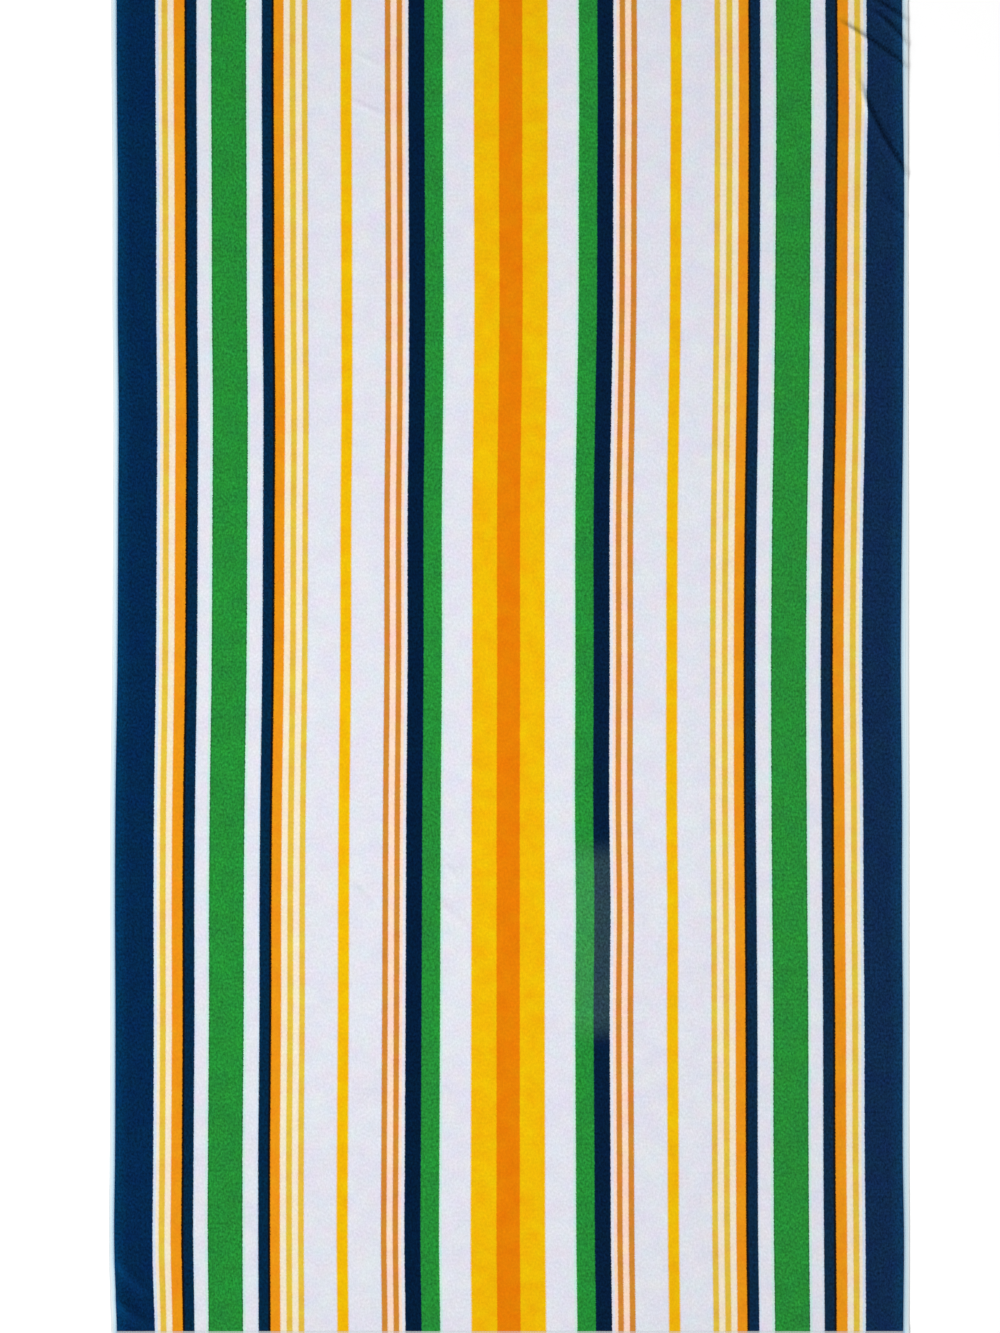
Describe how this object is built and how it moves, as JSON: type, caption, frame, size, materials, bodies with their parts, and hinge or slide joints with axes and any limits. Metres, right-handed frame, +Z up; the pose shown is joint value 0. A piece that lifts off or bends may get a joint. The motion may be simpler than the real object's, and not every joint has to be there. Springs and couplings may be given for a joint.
{
  "type": "beach towel",
  "caption": "Velour beach towel laid out flat, with lengthways stripes, bare selvedges and a turned hem across each end.",
  "frame": {"origin": "middle of the towel's box, on the surface it lies on", "axes": "+X across the towel to the right, +Y along it towards the end with the pulled corner, +Z up out of the cut-pile face"},
  "size_m": [1.0034, 1.7, 0.0092],
  "materials": {
    "velour_pile": "cut-pile cotton velour, yarn-dyed in navy, green, yellow, orange and white stripes",
    "loop_pile": "uncut cotton terry loops in the same stripes",
    "ground_weave": "flat cotton ground weave with faint ribs",
    "sewing_thread": "white lockstitch thread"
  },
  "bodies": {
    "root": {"towel": "velour_pile"}
  },
  "joints": []
}
